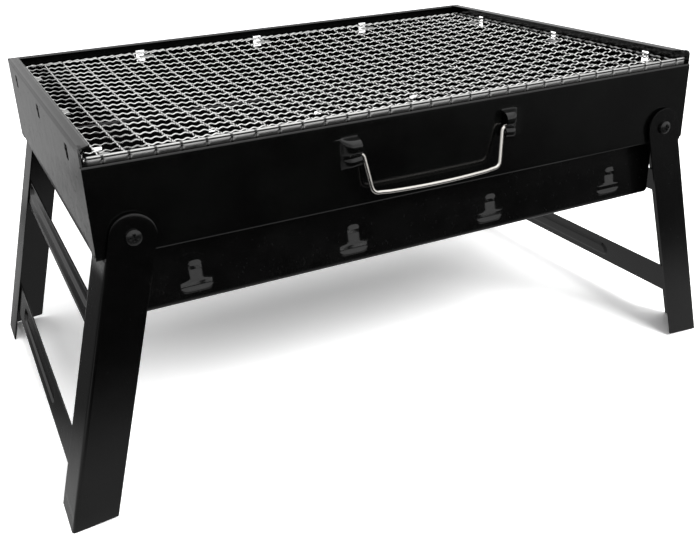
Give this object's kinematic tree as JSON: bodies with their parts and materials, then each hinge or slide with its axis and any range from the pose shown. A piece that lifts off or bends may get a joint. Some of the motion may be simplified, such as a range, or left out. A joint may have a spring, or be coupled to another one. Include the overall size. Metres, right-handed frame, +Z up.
{
  "type": "folding camp grill",
  "caption": "Folding charcoal grill: sheet steel frame on splayed folding leg frames, a telescoping vented firebox, a lift-off wire cooking mesh and a wire bail handle.",
  "frame": {"origin": "middle of the outline on the floor plane", "axes": "+X along the grill's length, -Y out of the front with the carry handle, +Z up"},
  "size_m": [0.4172, 0.2585, 0.1905],
  "materials": {
    "frame_paint": "semi-gloss black powder coat",
    "leg_paint": "semi-gloss black powder coat",
    "firebox_paint": "semi-gloss black powder coat",
    "fastener": "black oxide",
    "grate_steel": "matt black heat-proof coat",
    "mesh_wire": "bright plated wire",
    "mesh_border": "bright plated strip",
    "handle_wire": "bright drawn wire"
  },
  "bodies": {
    "frame": {"front_panel": "frame_paint", "rear_panel": "frame_paint", "left_end_panel": "frame_paint", "right_end_panel": "frame_paint", "pivot_screws": "fastener", "pivot_washers": "fastener", "pivot_nuts": "fastener"},
    "left_leg_frame": {"left_front_leg": "leg_paint", "left_rear_leg": "leg_paint", "left_upper_crossbar": "leg_paint", "left_lower_crossbar": "leg_paint"},
    "right_leg_frame": {"right_front_leg": "leg_paint", "right_rear_leg": "leg_paint", "right_upper_crossbar": "leg_paint", "right_lower_crossbar": "leg_paint"},
    "firebox": {"firebox_front_wall": "firebox_paint", "firebox_rear_wall": "firebox_paint", "firebox_left_wall": "firebox_paint", "firebox_right_wall": "firebox_paint", "firebox_floor": "firebox_paint"},
    "grate": {"charcoal_grate": "grate_steel"},
    "mesh": {"cooking_mesh_wires": "mesh_wire", "cooking_mesh_border": "mesh_border"},
    "handle": {"carry_handle": "handle_wire"}
  },
  "joints": [
    {"name": "left_leg_fold", "type": "hinge", "parent": "frame", "child": "left_leg_frame", "pos_m": [-0.1576, 0.00205, 0.1485], "axis": [0, -1, 0], "range_deg": [0, 104.9]},
    {"name": "right_leg_fold", "type": "hinge", "parent": "frame", "child": "right_leg_frame", "pos_m": [0.1576, 0.00205, 0.1485], "axis": [0, 1, 0], "range_deg": [0, 104.9]},
    {"name": "firebox_lift", "type": "slide", "parent": "frame", "child": "firebox", "axis": [0, 0, 1], "range_m": [0, 0.04049]},
    {"name": "charcoal_grate_lift", "type": "slide", "parent": "firebox", "child": "grate", "axis": [0, 0, 1], "range_m": [0, 0.015]},
    {"name": "mesh_lift", "type": "slide", "parent": "frame", "child": "mesh", "axis": [0, 0, 1], "range_m": [0, 0.06]},
    {"name": "handle_swing", "type": "hinge", "parent": "frame", "child": "handle", "pos_m": [0, -0.12325, 0.1673], "axis": [-1, 0, 0], "range_deg": [0, 120]}
  ],
  "couplings": [
    {"joint": "right_leg_fold", "follows": "left_leg_fold", "ratio": 1},
    {"joint": "firebox_lift", "follows": "left_leg_fold", "m_per_rad": 0.022117}
  ]
}
